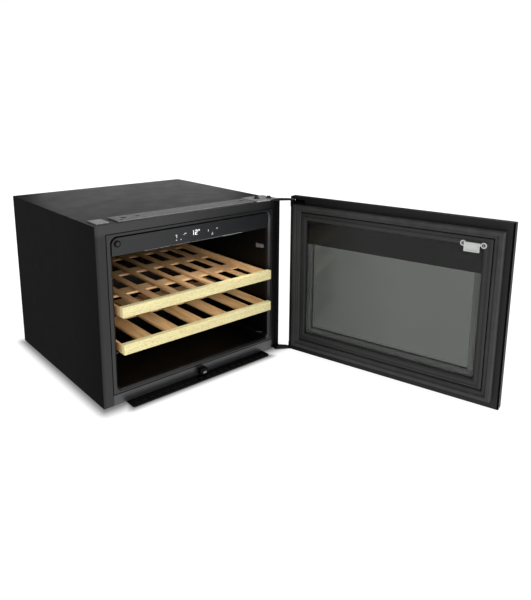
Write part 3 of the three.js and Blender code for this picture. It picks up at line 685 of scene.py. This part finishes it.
def add_block(bm, x0, x1, y0, y1, z0, z1):
    centre = Vector((x0 + x1, y0 + y1, z0 + z1)) / 2
    size = Matrix.Diagonal((abs(x1 - x0), abs(y1 - y0), abs(z1 - z0), 1))
    bmesh.ops.create_cube(bm, size=1, matrix=Matrix.Translation(centre) @ size)


def add_plate(bm, outline, y0, y1):
    """A block behind an outline of left, right, bottom and top in millimetres."""
    left, right, bottom, top = [edge * MM for edge in outline]
    add_block(bm, left, right, y0, y1, bottom, top)


def add_prism(bm, x0, x1, origin, outline):
    """A solid between two planes of x. Its outline is (y, z) corners in millimetres from the origin."""
    y0, z0 = origin
    near, far = [[bm.verts.new((x, y0 + y * MM, z0 + z * MM)) for y, z in outline] for x in (x0, x1)]
    bm.faces.new(near)
    bm.faces.new(far)
    for i in range(len(outline)):
        j = (i + 1) % len(outline)
        bm.faces.new((near[i], near[j], far[j], far[i]))


def add_lathe(bm, centre, axis, profile, sides):
    """Turns a profile of (radius, height) pairs in millimetres round an axis through the centre."""
    turn = Matrix.Translation(centre) @ Vector(axis).to_track_quat("Z", "Y").to_matrix().to_4x4()
    angles = [2 * math.pi * i / sides for i in range(sides)]
    rings = []
    for radius, height in profile:
        if radius == 0:
            rings.append([bm.verts.new(turn @ Vector((0, 0, height * MM)))])
            continue
        circle = [Vector((radius * math.cos(a), radius * math.sin(a), height)) * MM for a in angles]
        rings.append([bm.verts.new(turn @ point) for point in circle])
    for a, b in zip(rings, rings[1:]):
        for i in range(sides):
            j = (i + 1) % sides
            corners = [a[i % len(a)], a[j % len(a)], b[j % len(b)], b[i % len(b)]]
            corners = [v for k, v in enumerate(corners) if v not in corners[:k]]
            if len(corners) > 2:
                bm.faces.new(corners)


def close_ends(bm):
    """Caps the open ends of turned screw heads."""
    bmesh.ops.holes_fill(bm, edges=[edge for edge in bm.edges if edge.is_boundary])


def add_ring(bm, outer, inner, profile, y0):
    """A closed moulding round a rectangular opening, with mitred corners.

    outer and inner are (left, right, bottom, top) in millimetres. The profile is a closed list of
    (share of the way from outer to inner, height towards the cabinet in millimetres)."""
    loops = []
    for share, height in profile:
        left, right, bottom, top = [(a + (b - a) * share) * MM for a, b in zip(outer, inner)]
        y = y0 + height * MM
        corners = ((left, bottom), (right, bottom), (right, top), (left, top))
        loops.append([bm.verts.new((x, y, z)) for x, z in corners])
    for a, b in zip(loops, loops[1:] + loops[:1]):
        for i in range(4):
            j = (i + 1) % 4
            bm.faces.new((a[i], a[j], b[j], b[i]))


# ---------------------------------------------------------------- shelves

# Millimetres. The boards' middles are measured from the front frame.
UPPER = {"name": "upper", "wood": BEECH_Y, "slats": 7, "width": 17.5, "first": -172, "pitch": 56,
         "boards": (144, 296, 447)}
LOWER = {"name": "lower", "wood": HONEY_Y, "slats": 5, "width": 40, "first": -171, "pitch": 79,
         "boards": (205, 290)}
BOARD_WIDTH = 42 * MM
SLAT_THICKNESS = 6 * MM


def shelf_deck(shelf):
    """Slats from front to back, let into the top of cross boards."""
    deck = f"{shelf['name']}_shelf_deck"
    body = f"{shelf['name']}_shelf"
    deck_low, deck_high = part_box(deck)
    slat_bottom = deck_high.z - SLAT_THICKNESS
    bm = bmesh.new()
    for i in range(shelf["slats"]):
        left = (shelf["first"] + i * shelf["pitch"]) * MM
        add_block(bm, left, left + shelf["width"] * MM, deck_low.y, deck_high.y, slat_bottom, deck_high.z)
    piece(f"{shelf['name']}_slats", bm, shelf["wood"], body, 0.9 * MM, [deck])
    bm = bmesh.new()
    for board in shelf["boards"]:
        front_edge = FRONT + board * MM - BOARD_WIDTH / 2
        add_block(bm, deck_low.x, deck_high.x, front_edge, front_edge + BOARD_WIDTH, deck_low.z, slat_bottom)
    piece(f"{shelf['name']}_cross_boards", bm, BEECH_X, body, 0.9 * MM)


shelf_deck(UPPER)
shelf_deck(LOWER)

# ---------------------------------------------------------------- door

# The gasket: a root on the door's liner, a folded bellows and a flat magnet strip with round edges.
GASKET_PROFILE = (
    (0.00, 2.8), (0.00, 5.0), (0.08, 6.2), (0.08, 8.4), (0.00, 9.6), (0.00, 16.6), (0.04, 18.4),
    (0.10, 19.3), (0.46, 19.3), (0.52, 18.4), (0.55, 15.2), (0.62, 12.8), (0.70, 12.2), (0.86, 12.0),
    (0.95, 10.4), (1.00, 7.4), (1.00, 2.8),
)
# The door's liner: a lip with a shadow groove that slopes down to the pane, and a thin plate round it.
LIP_PROFILE = (
    (0.00, 0.3), (0.00, 2.5), (0.20, 2.5), (0.24, 6.6), (0.30, 7.6), (0.44, 8.0), (0.48, 6.4),
    (0.54, 6.4), (0.58, 8.0), (0.80, 7.6), (0.86, 6.0), (0.92, 5.4), (0.985, 1.6), (1.00, -1.1),
    (0.97, -1.2), (0.60, 0.3),
)
PLATE_PROFILE = ((0, 0.3), (0, 2.4), (0.98, 2.4), (0.98, 0.3))


def door_mouldings():
    bm = bmesh.new()
    add_ring(bm, GASKET_OUTER, GASKET_INNER, GASKET_PROFILE, DOOR_BACK)
    piece("gasket_bellows", bm, GASKET_RUBBER, "door", 0.5 * MM, ["door_gasket"],
          on_door=True)
    bm = bmesh.new()
    add_ring(bm, LIP_OUTER, WINDOW, LIP_PROFILE, DOOR_BACK)
    add_ring(bm, GASKET_OUTER, LIP_OUTER, PLATE_PROFILE, DOOR_BACK)
    piece("glazing_retainer", bm, RETAINER, "door", 0.3 * MM, ["door_liner"], on_door=True)


def pane_print():
    """The black band printed across the top of the inner pane, on its face towards the outer pane."""
    bm = bmesh.new()
    add_plate(bm, PANE_PRINT, INNER_PANE_FRONT - 0.22 * MM, INNER_PANE_FRONT - 0.06 * MM)
    piece("pane_print", bm, ENAMEL, "door", on_door=True)


def notch_print():
    """The black border printed on the outer pane, where the hinge arm's notch lays it bare."""
    bm = bmesh.new()
    add_plate(bm, NOTCH_PRINT, OUTER_PANE_BACK + 0.05 * MM, OUTER_PANE_BACK + 0.25 * MM)
    piece("notch_print", bm, BLACK_RING, "door", on_door=True)


def hinge_leaf():
    """Black leaf on the door's inner face at the hinge's upper corner, with two screws."""
    leaf_face = DOOR_BACK + 1.6 * MM
    bm = bmesh.new()
    add_plate(bm, HINGE_LEAF, DOOR_BACK + 0.2 * MM, leaf_face)
    piece("upper_hinge_leaf", bm, BLACK_RING, "door", 0.4 * MM, on_door=True)
    left, right, bottom, top = HINGE_LEAF
    bm = bmesh.new()
    for x in (left + 8, right - 9):
        centre = (x * MM, leaf_face, (bottom + top) / 2 * MM)
        add_lathe(bm, centre, (0, 1, 0), ((0, 0.4), (0.8, 0.4), (1.0, 1.0), (1.9, 0.8), (2.4, 0), (0, 0)),
                  sides=20)
    piece("hinge_leaf_screws", bm, BLACK_RING, "door", on_door=True)


door_mouldings()
pane_print()
notch_print()
hinge_leaf()

# ---------------------------------------------------------------- control panel

PANEL_FACE = FRONT + 0.5 * MM
DISPLAY_TEXT = "12"
SEGMENTS = {"1": "bc", "2": "abdeg"}
DIGIT_WIDTH, DIGIT_HEIGHT, DIGIT_BAR = 7.4 * MM, 12.5 * MM, 1.7 * MM
DIGIT_LEFT, DIGIT_BOTTOM, DIGIT_PITCH = -22.5 * MM, 383.5 * MM, 11 * MM
DEGREE_RING = ((0.9, 0), (0.9, 0.12), (2.2, 0.12), (2.2, 0), (0.9, 0))

# Left, bottom, width and height of each mark in millimetres.
TOUCH_MARKS = (
    (-69, 390, 5, 1.4), (-66.5, 384, 1.4, 5), (-43, 391, 6, 1.3), (-45, 388, 1.3, 2), (-68, 377.5, 3, 1.4),
    (-55, 377.5, 3, 1.4), (29, 386, 1.3, 5), (55.5, 390, 3.6, 1.6), (39, 376.5, 6, 1.2), (42, 379, 1.2, 3),
)


def add_digit(bm, x, z, text):
    """A seven-segment digit of flat bars; x and z are its lower left corner."""
    y0, y1 = PANEL_FACE - 0.12 * MM, PANEL_FACE + 0.05 * MM
    gap = 0.25 * MM
    half = DIGIT_HEIGHT / 2
    right_bar = DIGIT_WIDTH - DIGIT_BAR
    flat_bars = {"a": DIGIT_HEIGHT - DIGIT_BAR, "g": half - DIGIT_BAR / 2, "d": 0}
    tall_bars = {"f": (0, half), "b": (right_bar, half), "e": (0, 0), "c": (right_bar, 0)}
    for part in SEGMENTS[text]:
        if part in flat_bars:
            bottom = z + flat_bars[part]
            add_block(bm, x + gap, x + DIGIT_WIDTH - gap, y0, y1, bottom, bottom + DIGIT_BAR)
        else:
            dx, dz = tall_bars[part]
            add_block(bm, x + dx, x + dx + DIGIT_BAR, y0, y1, z + dz + gap, z + dz + half - gap)


def display():
    bm = bmesh.new()
    for i, text in enumerate(DISPLAY_TEXT):
        add_digit(bm, DIGIT_LEFT + i * DIGIT_PITCH, DIGIT_BOTTOM, text)
    add_lathe(bm, (1 * MM, PANEL_FACE, 394 * MM), (0, -1, 0), DEGREE_RING, sides=20)
    piece("display_digits", bm, DIGITS, "cabinet")


def panel_marks():
    """Small unlabelled light marks at the touch fields either side of the display."""
    bm = bmesh.new()
    for left, bottom, width, height in TOUCH_MARKS:
        add_plate(bm, (left, left + width, bottom, bottom + height), PANEL_FACE - 0.08 * MM,
                  PANEL_FACE + 0.05 * MM)
    piece("panel_marks", bm, MARKS, "cabinet")


display()
panel_marks()

# ---------------------------------------------------------------- small fittings

SCREW_HEAD = ((4.2, -0.1), (4.0, 0.4), (2.6, 0.8), (1.0, 0.8), (0.8, 0.3), (0, 0.3))
STRIKE_SCREW = ((4.3, -0.4), (4.3, 0.5), (3.6, 1.1), (1.4, 1.35), (1.2, 0.7), (0, 0.7))
SWITCH_RING = ((5.7, 0), (5.7, 0.7), (6.2, 1.3), (7.2, 1.3), (7.9, 0.6), (7.9, 0), (5.7, 0))
SENSOR_OUTLINE = ((21, 303), (21, 312), (24, 313), (52, 312), (52, 300), (46, 300))
RIB_OUTLINE = ((27, 43.5), (27, 45.5), (48, 40.8), (48, 38.8))
RIDGE_OUTLINE = ((-1.4, -1.3), (-0.7, -0.1), (0.7, -0.1), (1.4, -1.3))
CAVITY_WALL = 238.6 * MM               # the cavity's right wall

# Middle x, distance behind the front, length and width in millimetres of each black plate that paints the
# shade in a slot.
SLOT_SHADE_PLATES = ((-184, 45, 14.4, 9.4), (-147, 45, 11.4, 6.4), (-199, 27, 8.4, 4.4), (172, 45, 13.4, 7.4))


def rear_fixings():
    """Screw heads round the back panel and the rear grille, and the inlet's three contacts."""
    panel_low, panel_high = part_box("back_panel")
    side = panel_high.x - 9 * MM
    panel_rows = (panel_low.z + 12 * MM, (panel_low.z + panel_high.z) / 2, panel_high.z - 12 * MM)
    grille_rows = (14 * MM, panel_low.z - 12 * MM)
    for name, rows, material, slot in (
        ("back_panel_screws", panel_rows, BRIGHT_STEEL, "bright_steel"),
        ("rear_grille_screws", grille_rows, BLACK_RING, "black_plastic"),
    ):
        bm = bmesh.new()
        for z in rows:
            for x in (-side, side):
                add_lathe(bm, (x, panel_high.y, z), (0, 1, 0), SCREW_HEAD, sides=24)
        close_ends(bm)
        piece(name, bm, material, "cabinet")
    bm = bmesh.new()
    inlet, face = middle("power_inlet"), high("power_inlet").y
    for dx, dz in ((-6, -3), (6, -3), (0, 3)):
        x, z = inlet.x + dx * MM, inlet.z + dz * MM
        add_block(bm, x - 1 * MM, x + 1 * MM, face - 0.2 * MM, face + 0.3 * MM, z - 2 * MM, z + 2 * MM)
    piece("inlet_contacts", bm, BRIGHT_STEEL, "cabinet")


def switch_ring():
    """Rounded black ring round the door switch's plunger."""
    plunger = middle("door_switch_plunger")
    bm = bmesh.new()
    add_lathe(bm, (plunger.x, FRONT - 1.2 * MM, plunger.z), (0, -1, 0), SWITCH_RING, sides=36)
    piece("door_switch_ring", bm, BLACK_RING, "cabinet")


def wall_fittings():
    """The temperature sensor's grey cover, and a small light grey rib on the cavity's right wall that paints
    a highlight line.
    """
    bm = bmesh.new()
    add_prism(bm, CAVITY_WALL - 5 * MM, CAVITY_WALL, (FRONT, 0), SENSOR_OUTLINE)
    piece("sensor_cover", bm, SENSOR_GREY, "cabinet", 1.0 * MM)
    bm = bmesh.new()
    add_prism(bm, CAVITY_WALL - 6 * MM, CAVITY_WALL, (FRONT, 0), RIB_OUTLINE)
    piece("wall_highlight_rib", bm, SENSOR_GREY, "cabinet", 0.3 * MM)


def around(node, margin):
    """A node's outline from the front, grown by a margin: left, right, bottom, top in millimetres."""
    node_low, node_high = [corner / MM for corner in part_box(node)]
    return (node_low.x - margin, node_high.x + margin, node_low.z - margin, node_high.z + margin)


def front_seam():
    """Dark joint between the cabinet's front frame and the cavity's liner."""
    bm = bmesh.new()
    add_ring(bm, around("inner_liner", 1.4), around("inner_liner", -0.8),
             ((0, 0), (0, -0.12), (0.5, -0.18), (1, -0.12), (1, 0)), FRONT)
    piece("front_seam", bm, SEAM_AND_SLOT_SHADE_BLACK, "cabinet")


def grille_ridges():
    """Raised ridges along the floor grille's plate."""
    plate = high("vent_grille")
    half_length = plate.x - 5 * MM
    bm = bmesh.new()
    for reach in (0.5, 10.5, 27.5):
        add_prism(bm, -half_length, half_length, (FRONT - reach * MM, plate.z), RIDGE_OUTLINE)
    # The ridges take a lighter, shinier black than the plate: a painted highlight along them.
    piece("grille_ridges", bm, BLACK_PLASTIC, "cabinet")


def slot_shade_plates():
    """Black matt plates under the slots of the fixing strip: painted shade that shows in the slots."""
    bottom, top = WRAP_TOP + 0.1 * MM, high("top_fixing_strip").z - 0.1 * MM
    bm = bmesh.new()
    for x, y, length, width in SLOT_SHADE_PLATES:
        add_block(bm, (x - length / 2) * MM, (x + length / 2) * MM, FRONT + (y - width / 2) * MM,
                  FRONT + (y + width / 2) * MM, bottom, top)
    piece("fixing_strip_slot_shades", bm, SEAM_AND_SLOT_SHADE_BLACK, "cabinet", 0.2 * MM)


def strike_screws():
    """Dark dome heads in the eyelets of the strike plate."""
    bm = bmesh.new()
    for x in (-235, -188):
        add_lathe(bm, (x * MM, DOOR_BACK + 10.6 * MM, 397 * MM), (0, 1, 0), STRIKE_SCREW, sides=24)
    close_ends(bm)
    piece("strike_screws", bm, BLACK_RING, "door", on_door=True)


rear_fixings()
switch_ring()
wall_fittings()
front_seam()
grille_ridges()
slot_shade_plates()
strike_screws()
